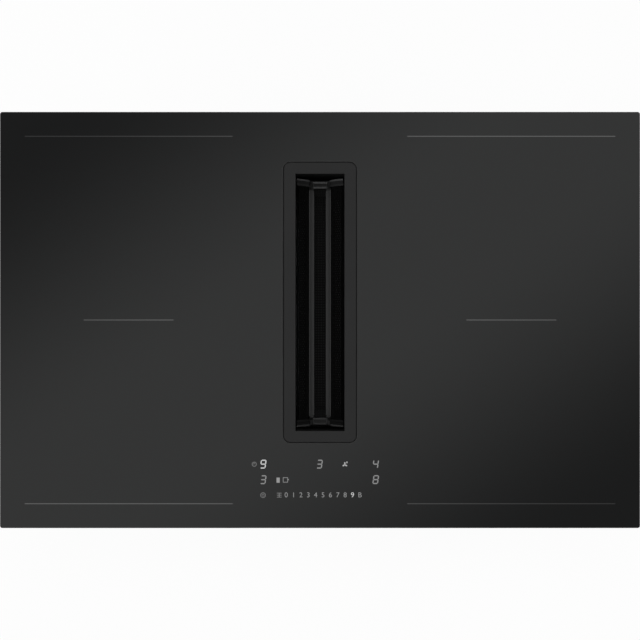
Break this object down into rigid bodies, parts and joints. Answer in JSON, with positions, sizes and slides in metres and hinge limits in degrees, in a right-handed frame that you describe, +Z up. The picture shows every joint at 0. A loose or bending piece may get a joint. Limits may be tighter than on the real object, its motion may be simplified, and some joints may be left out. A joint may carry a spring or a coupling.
{
  "type": "downdraft induction cooktop",
  "caption": "Frameless black glass induction cooktop with a slot-shaped downdraft extractor in its middle, touch controls at the front, and a fan box with a flat duct outlet below.",
  "frame": {"origin": "middle of the footprint, at the level of the fan box's foot", "axes": "+X to the cook's right along the long side, +Y to the rear, +Z up out of the glass"},
  "size_m": [0.8, 0.52, 0.2],
  "materials": {
    "black_glass": "polished opaque black glass-ceramic with fine grey printed lines",
    "satin_black": "fine-textured matt black coating",
    "black_mesh": "matt black coated expanded metal",
    "black_plastic": "moulded, finely spark-eroded",
    "grey_plastic": "moulded, semi-matt",
    "white_plastic": "moulded, semi-matt",
    "zinc_steel": "zinc-coated sheet with a soft spangle",
    "spring_steel": "bright cold-rolled",
    "aluminium": "mill finish",
    "copper": "varnished copper litz",
    "ferrite": "dark moulded carrier with ferrite bars",
    "mica": "pressed mica sheet",
    "foam_rubber": "closed-cell foam",
    "circuit_board": "solder-masked glass fibre"
  },
  "bodies": {
    "hob": {"glass_panel": "black_glass", "worktop_seal": "foam_rubber", "support_frame": "black_plastic", "base_pan": "zinc_steel", "fixing_spring_front_left": "spring_steel", "fixing_spring_rear_left": "spring_steel", "fixing_spring_front_right": "spring_steel", "fixing_spring_rear_right": "spring_steel", "inlet_shaft": "black_plastic", "vent_gasket": "foam_rubber", "shaft_gasket": "foam_rubber", "coil_tray_left": "aluminium", "coil_tray_right": "aluminium", "insulation_mat_left": "mica", "insulation_mat_right": "mica", "coil_carrier_front_left": "ferrite", "coil_carrier_rear_left": "ferrite", "coil_carrier_front_right": "ferrite", "coil_carrier_rear_right": "ferrite", "coil_winding_front_left": "copper", "coil_winding_rear_left": "copper", "coil_winding_front_right": "copper", "coil_winding_rear_right": "copper", "pan_sensor_front_left": "white_plastic", "pan_sensor_rear_left": "white_plastic", "pan_sensor_front_right": "white_plastic", "pan_sensor_rear_right": "white_plastic", "power_board_left": "circuit_board", "power_board_right": "circuit_board", "heat_sink_left": "aluminium", "heat_sink_right": "aluminium", "cooling_fan_housing_left": "black_plastic", "cooling_fan_housing_right": "black_plastic", "mains_filter_board": "circuit_board", "control_board": "circuit_board", "touch_carrier": "black_plastic", "terminal_box": "black_plastic", "terminal_block": "white_plastic", "terminal_box_lid": "black_plastic", "cable_gland": "black_plastic", "fan_box_lower": "black_plastic", "fan_box_cover": "black_plastic", "condensate_tray": "grey_plastic", "outlet_spigot": "black_plastic", "scroll_housing": "grey_plastic", "scroll_lid": "zinc_steel", "fan_motor": "aluminium"},
    "cover": {"cover_frame": "satin_black"},
    "overflow_tray": {"overflow_tray": "black_plastic"},
    "grease_filter": {"filter_frame": "satin_black", "filter_mesh_keel": "black_mesh", "filter_mesh_left": "black_mesh", "filter_mesh_right": "black_mesh"},
    "blower_wheel": {"impeller": "grey_plastic", "motor_shaft": "spring_steel"},
    "cooling_rotor_left": {"cooling_fan_rotor_left": "grey_plastic"},
    "cooling_rotor_right": {"cooling_fan_rotor_right": "grey_plastic"},
    "catch_front": {"tray_catch_front": "grey_plastic"},
    "catch_rear": {"tray_catch_rear": "grey_plastic"}
  },
  "joints": [
    {"name": "cover_lift", "type": "slide", "parent": "hob", "child": "cover", "axis": [0, 0, 1], "range_m": [0, 0.04]},
    {"name": "overflow_tray_lift", "type": "slide", "parent": "hob", "child": "overflow_tray", "axis": [0, 0, 1], "range_m": [0, 0.1]},
    {"name": "grease_filter_lift", "type": "slide", "parent": "overflow_tray", "child": "grease_filter", "axis": [0, 0, 1], "range_m": [0, 0.08]},
    {"name": "blower_spin", "type": "hinge", "parent": "hob", "child": "blower_wheel", "pos_m": [0.137, 0.01, 0.0705], "axis": [0, 0, 1], "continuous": true},
    {"name": "cooling_spin_left", "type": "hinge", "parent": "hob", "child": "cooling_rotor_left", "pos_m": [-0.25, -0.19, 0.16], "axis": [0, 0, 1], "continuous": true},
    {"name": "cooling_spin_right", "type": "hinge", "parent": "hob", "child": "cooling_rotor_right", "pos_m": [0.25, -0.19, 0.16], "axis": [0, 0, 1], "continuous": true},
    {"name": "catch_front_slide", "type": "slide", "parent": "hob", "child": "catch_front", "axis": [0, -1, 0], "range_m": [0, 0.008]},
    {"name": "catch_rear_slide", "type": "slide", "parent": "hob", "child": "catch_rear", "axis": [0, 1, 0], "range_m": [0, 0.008]}
  ]
}
